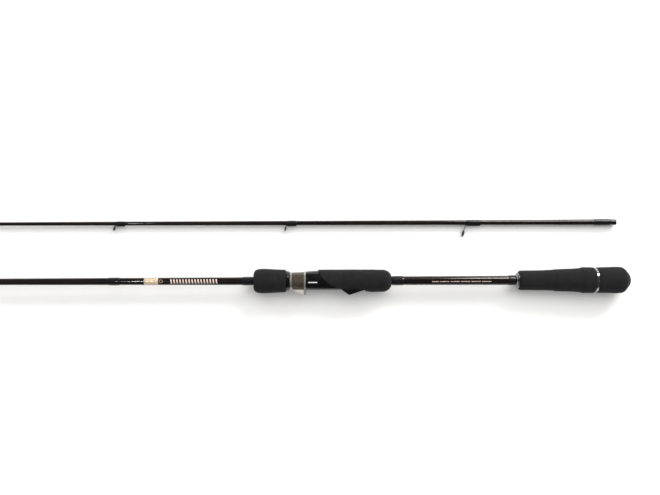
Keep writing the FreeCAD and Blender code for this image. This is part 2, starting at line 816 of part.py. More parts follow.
def moving_hood():
    """Hood shell with a lip for the reel foot, its keyed liner and its two metal rims."""
    outline = [
        ("hood_rear", "hood_bore"),
        ("hood_rear", "hood_rear_radius"),
        ("hood_front", "hood_front_radius"),
        ("hood_front", "hood_bore"),
    ]
    sleeve = turned("HoodSleeve", outline)
    lip = prism(
        "hood_lip",
        [
            ("hood_rear", "4"),
            ("hood_rear", "hood_lip_height"),
            ("hood_rear + 2.6", "hood_lip_height", "22"),
            ("hood_front - 3.4", "hood_front_radius"),
            ("hood_front - 3.4", "4"),
        ],
        "hood_half",
    )
    bore = rod("hood_bore_space", "hood_bore", "hood_rear - 2", "hood_front + 2")
    pocket = prism(
        "hood_pocket_space",
        [
            ("hood_rear - 1", "hood_bore - 1.5"),
            ("hood_rear - 1", "hood_lip_height - hood_wall"),
            ("hood_rear + 3", "hood_lip_height - hood_wall"),
            ("hood_rear + pocket_depth", "hood_lip_height - hood_wall - 2.2"),
            ("hood_rear + pocket_depth", "hood_bore - 1.5"),
        ],
        "hood_half - 1",
    )
    shell = cut("moving_hood", joined("hood_outer", [sleeve, lip]), [bore, pocket])
    finish(shell, "moving_hood", "butt")

    start = "(hood_rear + 0.1)"
    end = "(hood_rear + pocket_depth - 0.1)"
    outline = [
        (start, "barrel_radius + slide_gap"),
        (start, "hood_bore - slide_gap"),
        (end, "hood_bore - slide_gap"),
        (end, "barrel_radius + slide_gap"),
    ]
    ring = turned("LinerRing", outline)
    floor = prism(
        "liner_floor",
        [
            (start, "hood_bore - 1.3"),
            (start, "bed_height - slide_gap"),
            (end, "bed_height - slide_gap"),
            (end, "hood_bore - 1.3"),
        ],
        "hood_half - 1.2",
    )
    hollow = rod("liner_hollow", "barrel_radius + slide_gap", "hood_rear - 2", "hood_front")
    key = prism(
        "liner_key",
        [
            (start, "0 - barrel_radius - 0.3"),
            (start, "0 - barrel_radius + key_depth - 0.1"),
            (end, "0 - barrel_radius + key_depth - 0.1"),
            (end, "0 - barrel_radius - 0.3"),
        ],
        "key_width / 2 - 0.1",
    )
    trimmed = cut("liner_trimmed", joined("liner_outer", [ring, floor]), [hollow])
    finish(joined("hood_liner", [trimmed, key]), "hood_liner", "butt")

    start = "(hood_front - rim_length)"
    outline = [
        (start, "hood_front_radius + 0.1"),
        (start, "hood_front_radius + rim_wall"),
        ("hood_front", "hood_front_radius + rim_wall"),
        ("hood_front", "hood_front_radius + 0.1"),
    ]
    finish(turned("HoodFrontRim", outline), "hood_front_rim", "butt")

    end = "(hood_rear + rim_length)"
    band = rod("rim_band", "hood_rear_radius + rim_wall", "hood_rear", end)
    arch = prism(
        "rim_arch",
        [
            ("hood_rear", "4"),
            ("hood_rear", "hood_lip_height + rim_wall"),
            (end, "hood_lip_height + rim_wall"),
            (end, "4"),
        ],
        "hood_half + rim_wall",
    )
    inside = rod("rim_inside", "hood_rear_radius + glue_gap", "hood_rear - 1", f"{end} + 1")
    under = prism(
        "rim_under",
        [
            ("hood_rear - 1", "3"),
            ("hood_rear - 1", "hood_lip_height + glue_gap"),
            (f"{end} + 1", "hood_lip_height + glue_gap"),
            (f"{end} + 1", "3"),
        ],
        "hood_half + glue_gap",
    )
    rim = cut("hood_mouth_rim", joined("rim_outer", [band, arch]), [inside, under])
    finish(rim, "hood_mouth_rim", "butt")


def nut_and_foregrip():
    """Screw nut with a neck that swivels in the hood, its metal collar and the foam grip."""
    thread = "barrel_radius + slide_gap"
    outline = [
        ("nut_rear", thread),
        ("nut_rear", "nut_neck_radius"),
        ("nut_flange", "nut_neck_radius"),
        ("nut_flange", "nut_flange_radius"),
        ("nut_flange + 1", "nut_flange_radius"),
        ("nut_flange + 1", "nut_radius"),
        ("nut_front", "nut_radius"),
        ("nut_front", thread),
    ]
    finish(turned("LockNut", outline), "lock_nut", "butt")

    outline = [
        ("collar_start", "nut_radius + glue_gap"),
        ("collar_start", "collar_radius - 0.4"),
        ("collar_start + 0.5", "collar_radius"),
        ("collar_end - 0.5", "collar_radius"),
        ("collar_end", "collar_radius - 0.4"),
        ("collar_end", "nut_radius + glue_gap"),
    ]
    finish(turned("NutCollar", outline), "nut_collar", "butt")

    outline = [
        ("foregrip_start", "nut_radius + glue_gap"),
        ("foregrip_start", "foregrip_rear_radius - 1", "1.6"),
        ("foregrip_start + 1.5", "foregrip_rear_radius"),
        ("foregrip_belly", "foregrip_belly_radius", "9"),
        ("foregrip_front - 2.1", "foregrip_belly_radius - 1.3", "3.4"),
        ("foregrip_front", "foregrip_belly_radius - 3.7"),
        ("foregrip_front", "foregrip_front_bore"),
        ("nut_front + 0.05", "foregrip_front_bore"),
        ("nut_front + 0.05", "nut_radius + glue_gap"),
    ]
    finish(turned("Foregrip", outline), "foregrip", "butt")


# ---------------------------------------------------------------- assembly

butt_blank()
tip_blank()
winding("ferrule_winding", "tip", "ferrule_winding_start", "ferrule_winding_end", mouth_rule)
winding("trim_winding", "butt", "trim_start", "trim_end")
winding("seat_winding", "butt", "seat_winding_start", "seat_winding_end")
winding("fore_winding", "butt", "fore_winding_start", "fore_winding_end")
winding("band_winding", "butt", "band_start", "band_end")
for guide_name in GUIDES:
    single_foot_guide(guide_name)
butt_guide()
tip_top()
rear_handle()
reel_seat()
seat_arbors()
seat_grip()
moving_hood()
nut_and_foregrip()
doc.recompute()

for thing in doc.Objects:
    if "Invalid" in thing.State or "Error" in thing.State:
        raise RuntimeError(f"{thing.Name} failed: {thing.State}")
for piece in pieces:
    if piece.Shape.isNull() or not piece.Shape.isValid() or not piece.Shape.Solids:
        raise RuntimeError(f"{piece.Label} has no valid solid")

os.makedirs("parts", exist_ok=True)
for piece in pieces:
    piece.Shape.exportStep(os.path.join("parts", piece.Label + ".step"))
print(f"{len(pieces)} pieces written")
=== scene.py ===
import math

import bmesh
import bpy
from mathutils import Matrix, Vector, noise


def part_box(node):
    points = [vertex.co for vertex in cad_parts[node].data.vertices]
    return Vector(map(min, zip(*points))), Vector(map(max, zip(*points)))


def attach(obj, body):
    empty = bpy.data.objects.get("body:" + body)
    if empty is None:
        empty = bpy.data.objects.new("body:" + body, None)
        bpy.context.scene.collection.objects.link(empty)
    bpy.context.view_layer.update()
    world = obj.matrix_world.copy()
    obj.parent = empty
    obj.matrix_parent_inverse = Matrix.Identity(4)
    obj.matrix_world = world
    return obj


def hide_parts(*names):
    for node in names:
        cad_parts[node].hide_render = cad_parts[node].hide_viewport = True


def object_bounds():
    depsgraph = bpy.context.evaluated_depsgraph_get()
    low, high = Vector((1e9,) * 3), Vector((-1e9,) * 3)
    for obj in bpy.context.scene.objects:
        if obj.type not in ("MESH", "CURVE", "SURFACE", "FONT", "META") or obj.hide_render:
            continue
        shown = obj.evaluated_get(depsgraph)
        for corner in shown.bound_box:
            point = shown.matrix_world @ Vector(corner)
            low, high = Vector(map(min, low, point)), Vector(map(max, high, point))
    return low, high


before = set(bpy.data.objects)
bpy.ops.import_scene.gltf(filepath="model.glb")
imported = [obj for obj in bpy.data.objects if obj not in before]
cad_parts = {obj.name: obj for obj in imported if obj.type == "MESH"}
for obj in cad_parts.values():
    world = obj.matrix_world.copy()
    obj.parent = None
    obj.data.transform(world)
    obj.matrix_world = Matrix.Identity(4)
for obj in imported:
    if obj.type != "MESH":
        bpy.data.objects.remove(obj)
cad_low, cad_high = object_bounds()


# ---------------------------------------------------------------- butt tube
# A tube of carbon cloth rolled on a tapered steel core, bound with tape, baked and varnished
# black. The varnish is deep and glossy round the handle and thin ahead of the decorative
# winding, and the last 70 mm is the straight ferrule that the tip section slides over.
MM = 0.001
BUTT_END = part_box("butt_grip")[1].x
tube_low, tube_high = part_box("butt_blank")
BUTT_AXIS = (tube_low + tube_high) / 2
BUTT_REAR_RADIUS = 5.75
BUTT_TAPER = 0.002868
FERRULE_RADIUS = 2.73
VARNISH_BLACK = (0.0022, 0.0019, 0.0021, 1)
VARNISH_BROWN = (0.0105, 0.0058, 0.0052, 1)
COAT_THIN, COAT_DEEP = 0.5, 0.8
SATIN_ROUGHNESS, GLOSS_ROUGHNESS = 0.34, 0.2
TAPE_MARKS_PER_METRE = 240.0


def butt_radius(along):
    return BUTT_REAR_RADIUS - BUTT_TAPER * along


def rounded(outline, step, is_open=False):
    """The outline with its corners rounded off and its long runs divided.

    A corner is (along, radius), with the reach of its rounding as a third item if it has one.
    """
    points = []
    corners = [Vector(corner[:2]) for corner in outline]
    for index, corner in enumerate(outline):
        here = corners[index]
        if len(corner) == 2:
            points.append(here)
            continue
        back = corners[index - 1] - here
        on = corners[(index + 1) % len(corners)] - here
        start = here + back.normalized() * min(corner[2], 0.48 * back.length)
        stop = here + on.normalized() * min(corner[2], 0.48 * on.length)
        for share in (0, 0.2, 0.4, 0.6, 0.8, 1):
            points.append(start.lerp(here, share).lerp(here.lerp(stop, share), share))
    divided = []
    following = points[1:] if is_open else points[1:] + points[:1]
    for first, second in zip(points, following):
        parts = max(1, math.ceil((second - first).length / step))
        divided += [first.lerp(second, part / parts) for part in range(parts)]
    return divided + points[-1:] if is_open else divided


def turned(outline, end, axis, turns=64, step=4.0, is_open=False):
    """A shape turned about an axis along X. Its outline runs from end towards the tip."""
    shape = bmesh.new()
    dots = []
    for along, radius in rounded(outline, step, is_open):
        dots.append(shape.verts.new((end - along * MM, axis.y, axis.z + radius * MM)))
    pairs = list(zip(dots, dots[1:]))
    if not is_open:
        pairs.append((dots[-1], dots[0]))
    lines = [shape.edges.new(pair) for pair in pairs]
    bmesh.ops.spin(
        shape,
        geom=dots + lines,
        cent=(0, axis.y, axis.z),
        axis=(1, 0, 0),
        angle=math.tau,
        steps=turns,
        use_merge=True,
    )
    bmesh.ops.remove_doubles(shape, verts=shape.verts, dist=0.001 * MM)
    bmesh.ops.recalc_face_normals(shape, faces=shape.faces)
    return shape


def keep(name, shape, materials, body, slot, *nodes):
    """Makes a finished shape a piece that rides on a body and stands for its CAD nodes."""
    mesh = bpy.data.meshes.new(name)
    shape.to_mesh(mesh)
    shape.free()
    mesh.shade_smooth()
    for material in materials if isinstance(materials, list) else [materials]:
        mesh.materials.append(material)
    piece = bpy.data.objects.new(name, mesh)
    bpy.context.scene.collection.objects.link(piece)
    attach(piece, body)
    if nodes:
        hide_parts(*nodes)
    return piece


def add(tree, kind, inputs, **settings):
    """Adds a node. Each input is a plain value or the output socket that feeds it."""
    made = tree.nodes.new("ShaderNode" + kind)
    for name, setting in settings.items():
        setattr(made, name, setting)
    for name, given in inputs.items():
        if isinstance(given, bpy.types.NodeSocket):
            tree.links.new(given, made.inputs[name])
        else:
            made.inputs[name].default_value = given
    return made


def math_of(tree, operation, *numbers):
    return add(tree, "Math", dict(enumerate(numbers)), operation=operation).outputs[0]


def mixed(tree, share, first, second):
    """One colour turned into another by a share."""
    made = add(tree, "Mix", {0: share, 6: first, 7: second}, data_type="RGBA")
    return made.outputs[2]


def scaled(tree, share, low, high):
    """A share from 0 to 1 carried to another range."""
    made = add(tree, "MapRange", {"Value": share, "To Min": low, "To Max": high})
    return made.outputs[0]


def finish_of(name, **sockets):
    """A new material, its tree, its shader and the Object coordinates that it reads."""
    material = bpy.data.materials.new(name)
    material.use_nodes = True
    tree = material.node_tree
    shader = tree.nodes["Principled BSDF"]
    for socket, given in sockets.items():
        shader.inputs[socket.replace("_", " ")].default_value = given
    return material, tree, shader, add(tree, "TexCoord", {}).outputs["Object"]


def new_group(name, inputs, outputs):
    """A node group that is built once and placed in each material with its own values."""
    group = bpy.data.node_groups.new(name, "ShaderNodeTree")
    for label, (kind, given) in inputs.items():
        socket = group.interface.new_socket(label, in_out="INPUT", socket_type=kind)
        if given is not None:
            socket.default_value = given
    for label in outputs:
        group.interface.new_socket(label, in_out="OUTPUT", socket_type="NodeSocketFloat")
    return group, group.nodes.new("NodeGroupInput"), group.nodes.new("NodeGroupOutput")


def use(tree, group, inputs):
    made = tree.nodes.new("ShaderNodeGroup")
    made.node_tree = group
    for name, given in inputs.items():
        if isinstance(given, bpy.types.NodeSocket):
            tree.links.new(given, made.inputs[name])
        else:
            made.inputs[name].default_value = given
    return made.outputs


def bumped(tree, shader, height, strength, distance):
    bump = add(tree, "Bump", {"Height": height, "Strength": strength, "Distance": distance})
    tree.links.new(bump.outputs[0], shader.inputs["Normal"])


# Clouding: soft patches at two scales, used wherever a colour or a gloss isn't quite even.
CLOUDING, given, out = new_group(
    "clouding",
    {"Vector": ("NodeSocketVector", None), "Patches per metre": ("NodeSocketFloat", 100.0)},
    ["Share"],
)
coarse = add(CLOUDING, "TexNoise", {"Vector": given.outputs[0], "Scale": given.outputs[1]})
finer = math_of(CLOUDING, "MULTIPLY", given.outputs[1], 5.3)
fine = add(CLOUDING, "TexNoise", {"Vector": given.outputs[0], "Scale": finer})
weighed = math_of(CLOUDING, "MULTIPLY_ADD", fine.outputs[0], 0.45, 0.0)
together = math_of(CLOUDING, "MULTIPLY_ADD", coarse.outputs[0], 0.55, weighed)
spread = add(CLOUDING, "MapRange", {"Value": together, "From Min": 0.32, "From Max": 0.68})
CLOUDING.links.new(spread.outputs[0], out.inputs[0])

# Tape marks: the faint spiral ridges that the binding tape leaves under a tube's varnish.
TAPE_MARKS, given, out = new_group(
    "tape marks",
    {"Vector": ("NodeSocketVector", None), "Marks per metre": ("NodeSocketFloat", 330.0)},
    ["Height"],
)
parts = add(TAPE_MARKS, "SeparateXYZ", {0: given.outputs[0]}).outputs
angle = math_of(TAPE_MARKS, "ARCTAN2", parts[2], parts[1])
turn = math_of(TAPE_MARKS, "DIVIDE", angle, math.tau)
place = math_of(TAPE_MARKS, "MULTIPLY_ADD", parts[0], given.outputs[1], turn)
phase = math_of(TAPE_MARKS, "FRACT", place)
away = math_of(TAPE_MARKS, "ABSOLUTE", math_of(TAPE_MARKS, "SUBTRACT", phase, 0.5))
ridge = add(TAPE_MARKS, "MapRange", {"Value": away, "From Min": 0.5, "From Max": 0.36})
ridge.interpolation_type = "SMOOTHSTEP"
TAPE_MARKS.links.new(ridge.outputs[0], out.inputs[0])


def varnished_carbon(name, axis, dull_before):
    """Black varnish with a brown cast. Ahead of a place on the tube it is thin and satin."""
    material, tree, shader, where = finish_of(
        name, Coat_Roughness=0.06, Specular_IOR_Level=0.2
    )
    shift = (0, -axis.y, -axis.z)
    centred = add(tree, "Mapping", {"Vector": where, "Location": shift}).outputs[0]
    drawn_out = add(tree, "Mapping", {"Vector": where, "Scale": (0.12, 1, 1)}).outputs[0]
    cast = use(tree, CLOUDING, {0: drawn_out, 1: 160.0})[0]
    tree.links.new(mixed(tree, cast, VARNISH_BLACK, VARNISH_BROWN), shader.inputs["Base Color"])
    marks = use(tree, TAPE_MARKS, {0: centred, 1: TAPE_MARKS_PER_METRE})[0]
    along = add(tree, "SeparateXYZ", {0: where}).outputs[0]
    gloss = math_of(tree, "GREATER_THAN", along, dull_before)
    tree.links.new(scaled(tree, gloss, COAT_THIN, COAT_DEEP), shader.inputs["Coat Weight"])
    handled = use(tree, CLOUDING, {0: where, 1: 60.0})[0]
    worn = scaled(tree, handled, 0.02, 0.12)
    polish = scaled(tree, gloss, SATIN_ROUGHNESS, GLOSS_ROUGHNESS)
    base = math_of(tree, "ADD", polish, worn)
    tree.links.new(base, shader.inputs["Roughness"])
    bumped(tree, shader, marks, 0.25, 0.00004)
    return material


STEP_AT = 1025.5
MALE_AT = 1030.0
outline = [
    (4.0, butt_radius(4) - 1.0),
    (4.0, butt_radius(4), 0.3),
    (STEP_AT, butt_radius(STEP_AT), 1.5),
    (MALE_AT, FERRULE_RADIUS, 1.5),
    (1099.4, FERRULE_RADIUS, 0.4),
    (1100.0, FERRULE_RADIUS - 0.3),
    (1100.0, FERRULE_RADIUS - 0.75),
]
carbon = varnished_carbon("butt varnish", BUTT_AXIS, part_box("band_winding")[0].x)
tube = turned(outline, BUTT_END, BUTT_AXIS, 48, 12.0)
keep("butt_tube", tube, carbon, "butt_section", "carbon_blank", "butt_blank")


# ---------------------------------------------------------------- tip tube
# The tip section's tube, rolled the same way. It is swollen at its open end, where the ferrule
# socket is, and tapers to 2 mm at the tip top.
TIP_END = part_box("tip_blank")[1].x
tube_low, tube_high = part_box("tip_blank")
TIP_AXIS = (tube_low + tube_high) / 2
MOUTH_RADIUS = 3.33
MOUTH_STRAIGHT = 50.0
MOUTH_END = 78.0
TIP_MIDDLE = 560.0
TIP_MIDDLE_RADIUS = 2.33
TIP_REAR_TAPER = 0.001432
TIP_FRONT_TAPER = 0.00237
SOCKET_RADIUS = 2.76
TUBE_WALL = 0.55


def tip_radius(along):
    if along <= MOUTH_STRAIGHT:
        return MOUTH_RADIUS
    if along >= TIP_MIDDLE:
        return TIP_MIDDLE_RADIUS - TIP_FRONT_TAPER * (along - TIP_MIDDLE)
    return TIP_MIDDLE_RADIUS + TIP_REAR_TAPER * (TIP_MIDDLE - along)


outline = [
    (0.0, SOCKET_RADIUS, 0.2),
    (0.0, MOUTH_RADIUS, 0.25),
    (MOUTH_STRAIGHT, MOUTH_RADIUS, 8.0),
    (MOUTH_END, tip_radius(MOUTH_END), 8.0),
    (TIP_MIDDLE, TIP_MIDDLE_RADIUS),
    (1100.0, tip_radius(1100)),
    (1100.0, tip_radius(1100) - TUBE_WALL),
    (TIP_MIDDLE, TIP_MIDDLE_RADIUS - TUBE_WALL),
    (74.0, tip_radius(80) - TUBE_WALL),
    (72.0, SOCKET_RADIUS),
]
carbon = varnished_carbon("tip varnish", TIP_AXIS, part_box("guide_5_winding")[1].x)
tube = turned(outline, TIP_END, TIP_AXIS, 40, 12.0)
keep("tip_tube", tube, carbon, "tip_section", "carbon_blank", "tip_blank")


# ---------------------------------------------------------------- thread windings
# Black nylon thread wound tight round the tubes, flooded with clear epoxy that stands thick in
# the middle and thins to nothing at the ends. The plain windings mark the ends of the handle
# parts, the decorative one closes the printed stretch and the last one hoops the ferrule.
THREAD_THICKNESS = 0.42
THREADS_PER_METRE = 5200.0
# The thread's own black, and a lighter colour painted on the crowns of its turns as their sheen.
THREAD_BLACK = (0.003, 0.003, 0.0036, 1)
THREAD_SHEEN = (0.011, 0.0105, 0.013, 1)


def varnished_thread(name, painted_sheen):
    """Fine turns of thread seen through epoxy, with a sheen painted in patches on the crown of each
    turn.
    """
    material, tree, shader, where = finish_of(
        name, Coat_Weight=0.6, Coat_Roughness=0.025, Roughness=0.4, Specular_IOR_Level=0.2
    )
    across = add(tree, "SeparateXYZ", {0: where}).outputs[0]
    phase = math_of(tree, "FRACT", math_of(tree, "MULTIPLY", across, THREADS_PER_METRE))
    turns = math_of(tree, "SINE", math_of(tree, "MULTIPLY", phase, math.pi))
    uneven = use(tree, CLOUDING, {0: where, 1: 420.0})[0]
    # Painted sheen: the colour turns lighter on the crown of each turn of thread, in patches.
    colour = mixed(tree, math_of(tree, "MULTIPLY", turns, uneven), THREAD_BLACK, painted_sheen)
    tree.links.new(colour, shader.inputs["Base Color"])
    bumped(tree, shader, turns, 0.5, 0.00005)
    return material


def wound(start, end, radius_at, thickness=THREAD_THICKNESS):
    """The outline of a winding from start to end over a tube of a given radius."""
    length = end - start
    rise = [(0.0, 0.08), (0.5, 0.42), (1.3, 0.82), (0.25 * length, 0.95)]
    fall = [(length - along, share) for along, share in reversed(rise)]
    crown = rise + [(0.5 * length, 1.0)] + fall
    outline = [(start, radius_at(start))]
    for along, share in crown:
        there = start + along
        outline.append((there, radius_at(there) + thickness * share, 0.6))
    return outline + [(end, radius_at(end))]


def reach(node, end):
    """How far from a section's butt-side end a node starts and stops, in millimetres."""
    low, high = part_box(node)
    return (end - high.x) / MM, (end - low.x) / MM


plain_thread = varnished_thread("black thread", THREAD_SHEEN)
for name in ("trim_winding", "seat_winding", "fore_winding", "band_winding"):
    start, stop = reach(name, BUTT_END)
    sleeve = turned(wound(start, stop, butt_radius), BUTT_END, BUTT_AXIS, 56, 0.7)
    keep(name + "_thread", sleeve, plain_thread, "butt_section", "thread", name)

start, stop = reach("ferrule_winding", TIP_END)
sleeve = turned(wound(start, stop, tip_radius), TIP_END, TIP_AXIS, 48, 0.7)
keep("ferrule_winding_thread", sleeve, plain_thread, "tip_section", "thread", "ferrule_winding")


# ---------------------------------------------------------------- line guides
# Each guide is a hoop on two legs, stamped from stainless sheet and plated dark grey, with a
# polished ceramic ring pressed into the hoop. Its flat foot is ground to a taper and bound to
# the tube with thread, which swells over it. Six stand on the tip section on one foot each.
PLATED = (0.085, 0.085, 0.09, 1)
PLATED_WORN = (0.33, 0.33, 0.335, 1)
CERAMIC = (0.022, 0.022, 0.025, 1)
CERAMIC_VEIN = (0.06, 0.06, 0.066, 1)
LEAN = math.radians(15)
FOOT_SWELL = 0.78
FOOT_HALF_WIDTH = 1.5
FOOT_RAMP = 0.9
FOOT_OVERLAP = 1.0
SWELL_SQUARENESS = 6
SWELL_EDGE = 0.5
FOOT_THREAD_THICKNESS = 0.3
GUIDE_EDGE = 0.16
BUTT_GUIDE_EDGE = 0.2
TIP_TOP_EDGE = 0.12
RING_HALF_LENGTH = 0.9
RING_WALL, RING_WALL_SHARE = 0.32, 0.085


def softened(node, width, steps=2, angle=30.0):
    """A CAD node's shape, its loose triangles merged into faces and its edges rounded."""
    shape = bmesh.new()
    shape.from_mesh(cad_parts[node].data)
    bmesh.ops.remove_doubles(shape, verts=shape.verts, dist=0.002 * MM)
    bmesh.ops.dissolve_limit(
        shape, angle_limit=math.radians(0.4), verts=shape.verts, edges=shape.edges
    )
    bmesh.ops.recalc_face_normals(shape, faces=shape.faces)
    sharp = []
    for edge in shape.edges:
        if len(edge.link_faces) == 2 and edge.calc_face_angle() > math.radians(angle):
            sharp.append(edge)
    bmesh.ops.bevel(
        shape,
        geom=sharp,
        offset=width * MM,
        offset_type="OFFSET",
        segments=steps,
        profile=0.5,
        affect="EDGES",
        material=-1,
        clamp_overlap=True,
    )
    return shape


def even_shading(piece):
    """Keeps flat faces flat-looking beside their rounded edges."""
    piece.modifiers.new("even shading", "WEIGHTED_NORMAL").keep_sharp = True


def plated_steel():
    material, tree, shader, where = finish_of(
        "plated steel", Metallic=1.0, Specular_IOR_Level=0.5
    )
    worn = use(tree, CLOUDING, {0: where, 1: 900.0})[0]
    patches = math_of(tree, "POWER", worn, 3.0)
    tree.links.new(mixed(tree, patches, PLATED, PLATED_WORN), shader.inputs["Base Color"])
    tree.links.new(scaled(tree, worn, 0.22, 0.4), shader.inputs["Roughness"])
    bumped(tree, shader, worn, 0.15, 0.00003)
    return material


def polished_ceramic():
    material, tree, shader, where = finish_of(
        "polished ceramic", Roughness=0.08, Coat_Weight=0.6, Coat_Roughness=0.02
    )
    veins = use(tree, CLOUDING, {0: where, 1: 1500.0})[0]
    tree.links.new(mixed(tree, veins, CERAMIC, CERAMIC_VEIN), shader.inputs["Base Color"])
    return material


def guide_ring(node, body):
    """A ceramic ring with well rounded lips, tilted with its guide."""
    low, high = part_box(node)
    centre = (low + high) / 2
    outer = (high.z - low.z) / 2 / MM
    wall = RING_WALL + RING_WALL_SHARE * outer
    half = RING_HALF_LENGTH
    outline = [
        (-half, outer - wall * 0.62, 0.2),
        (-half * 0.6, outer - 0.02, 0.35),
        (half * 0.6, outer - 0.02, 0.35),
        (half, outer - wall * 0.62, 0.2),
        (half * 0.3, outer - wall, 0.35),
        (-half * 0.3, outer - wall, 0.35),
    ]
    ring = turned(outline, centre.x, centre, 48, 0.3)
    turn = Matrix.Rotation(-LEAN, 3, "Z")
    bmesh.ops.rotate(ring, verts=ring.verts, cent=centre, matrix=turn)
    keep(node + "_ceramic", ring, ceramic, body, "guide_ceramic", node)


def swell_over_foot(sleeve, axis, radius_at, end, start, stop, foot_end):
    """Lifts a winding on the guides' side, where the foot lies under it."""
    for vertex in sleeve.verts:
        off = Vector((0, vertex.co.y - axis.y, vertex.co.z - axis.z))
        along = (end - vertex.co.x) / MM
        if off.length / MM < radius_at(along) + 0.01:
            continue
        turn = math.atan2(off.z, -off.y)
        across = math.exp(-((turn * radius_at(along) / FOOT_HALF_WIDTH) ** SWELL_SQUARENESS))
        if foot_end < start + 0.5 * (stop - start):
            ramp = min(1.0, max(0.0, (along - foot_end + FOOT_OVERLAP) / FOOT_RAMP))
        else:
            ramp = min(1.0, max(0.0, (foot_end + FOOT_OVERLAP - along) / FOOT_RAMP))
        near_edge = min(1.0, (along - start) / SWELL_EDGE, (stop - along) / SWELL_EDGE)
        lift = FOOT_SWELL * across * ramp * max(0.0, near_edge)
        vertex.co += off.normalized() * lift * MM
    return sleeve


def foot_thread(node, body, end, axis, radius_at, foot_end):
    start, stop = reach(node, end)
    sleeve = turned(wound(start, stop, radius_at, FOOT_THREAD_THICKNESS), end, axis, 64, 0.6)
    swell_over_foot(sleeve, axis, radius_at, end, start, stop, foot_end)
    keep(node + "_thread", sleeve, plain_thread, body, "thread", node)


steel = plated_steel()
ceramic = polished_ceramic()
for number in range(1, 7):
    guide = f"guide_{number}"
    guide_frame = softened(guide + "_frame", GUIDE_EDGE)
    stamped = keep(
        guide + "_stamping", guide_frame, steel, "tip_section", "guide_metal", guide + "_frame"
    )
    even_shading(stamped)
    guide_ring(guide + "_ring", "tip_section")
    foot_end = reach(guide + "_frame", TIP_END)[0]
    foot_thread(
        guide + "_winding", "tip_section", TIP_END, TIP_AXIS, tip_radius, foot_end
    )


# ---------------------------------------------------------------- butt guide
# The guide nearest the reel is the largest, to take the coils of line off the spool. It stands
# on two feet, with a strut that braces its hoop from behind.
guide_frame = softened("butt_guide_frame", BUTT_GUIDE_EDGE)
stamped = keep(
    "butt_guide_stamping", guide_frame, steel, "butt_section", "guide_metal", "butt_guide_frame"
)
even_shading(stamped)
guide_ring("butt_guide_ring", "butt_section")
foot_start, foot_stop = reach("butt_guide_frame", BUTT_END)
foot_thread(
    "butt_guide_rear_winding", "butt_section", BUTT_END, BUTT_AXIS, butt_radius, foot_start
)
foot_thread(
    "butt_guide_front_winding", "butt_section", BUTT_END, BUTT_AXIS, butt_radius, foot_stop
)


# ---------------------------------------------------------------- tip top
# The last guide: a steel tube glued over the tip, with a small hoop on its side that holds a
# ceramic ring like those of the other guides.
guide_frame = softened("tip_top_frame", TIP_TOP_EDGE)
stamped = keep(
    "tip_top_stamping", guide_frame, steel, "tip_section", "guide_metal", "tip_top_frame"
)
even_shading(stamped)
guide_ring("tip_top_ring", "tip_section")


# ---------------------------------------------------------------- foam grips
# Closed-cell foam, turned to shape and sanded, so that its skin is matt and finely pitted. It
# is glued over the tube behind the reel, round the back of the reel seat and over the lock nut.
FOAM_DARK = (0.0055, 0.0055, 0.0059, 1)
FOAM_LIGHT = (0.0155, 0.0155, 0.0165, 1)
FOAM_DUST = (0.05, 0.05, 0.05, 1)
PITS_PER_METRE = 1500.0
SANDING_DEPTH = 0.16
PALM_SANDING_DEPTH = 0.14


def sanded_foam():
    material, tree, shader, where = finish_of(
        "sanded foam", Specular_IOR_Level=0.12, Sheen_Weight=0.04, Sheen_Roughness=0.6
    )
    clouds = use(tree, CLOUDING, {0: where, 1: 130.0})[0]
    speckle = use(tree, CLOUDING, {0: where, 1: 2300.0})[0]
    share = math_of(tree, "MULTIPLY_ADD", speckle, 0.55, math_of(tree, "MULTIPLY", clouds, 0.45))
    foam = mixed(tree, share, FOAM_DARK, FOAM_LIGHT)
    specks = add(tree, "TexNoise", {"Vector": where, "Scale": 700.0, "Detail": 1.0}).outputs[0]
    dust = add(tree, "MapRange", {"Value": specks, "From Min": 0.7, "From Max": 0.8}).outputs[0]
    tree.links.new(mixed(tree, dust, foam, FOAM_DUST), shader.inputs["Base Color"])
    tree.links.new(scaled(tree, clouds, 0.78, 0.95), shader.inputs["Roughness"])
    cells = add(tree, "TexVoronoi", {"Vector": where, "Scale": PITS_PER_METRE}).outputs[0]
    bumped(tree, shader, cells, 0.6, 0.00022)
    return material


def sand_unevenly(shape, depth):
    """Moves the skin in and out a little, as hand sanding leaves it."""
    for vertex in shape.verts:
        wide = noise.noise(vertex.co * 95)
        close = noise.noise(vertex.co * 420)
        vertex.co += vertex.normal * (0.65 * wide + 0.35 * close) * depth * MM
    return shape


foam = sanded_foam()
outline = [
    (0.0, 0.0),
    (0.25, 3.6, 2.0),
    (2.0, 7.1, 1.8),
    (8.4, 14.35, 2.6),
    (14.0, 15.05, 5.0),
    (37.7, 14.4, 1.0),
    (38.6, 13.6, 0.3),
    (38.6, 13.47),
    (37.35, 13.47),
    (37.35, butt_radius(37)),
    (3.9, butt_radius(4)),
    (3.9, 0.0),
]
grip = sand_unevenly(turned(outline, BUTT_END, BUTT_AXIS, 112, 1.1, True), SANDING_DEPTH)
piece = keep("butt_grip_foam", grip, foam, "butt_section", "foam", "butt_grip")

outline = [
    (41.95, 13.47),
    (40.9, 13.47),
    (40.9, 13.6, 0.3),
    (42.2, 14.6, 1.0),
    (54.0, 14.65, 1.3),
    (57.0, 13.7, 1.6),
    (66.0, 12.95, 5.0),
    (85.6, 12.35, 1.0),
    (87.4, 11.8, 0.9),
    (101.0, 11.3, 6.0),
    (124.9, 11.05, 1.5),
    (126.6, 9.3, 0.8),
    (126.6, butt_radius(126)),
    (41.95, butt_radius(42)),
]
grip = sand_unevenly(turned(outline, BUTT_END, BUTT_AXIS, 112, 1.1), SANDING_DEPTH)
piece = keep("rear_grip_foam", grip, foam, "butt_section", "foam", "rear_grip")

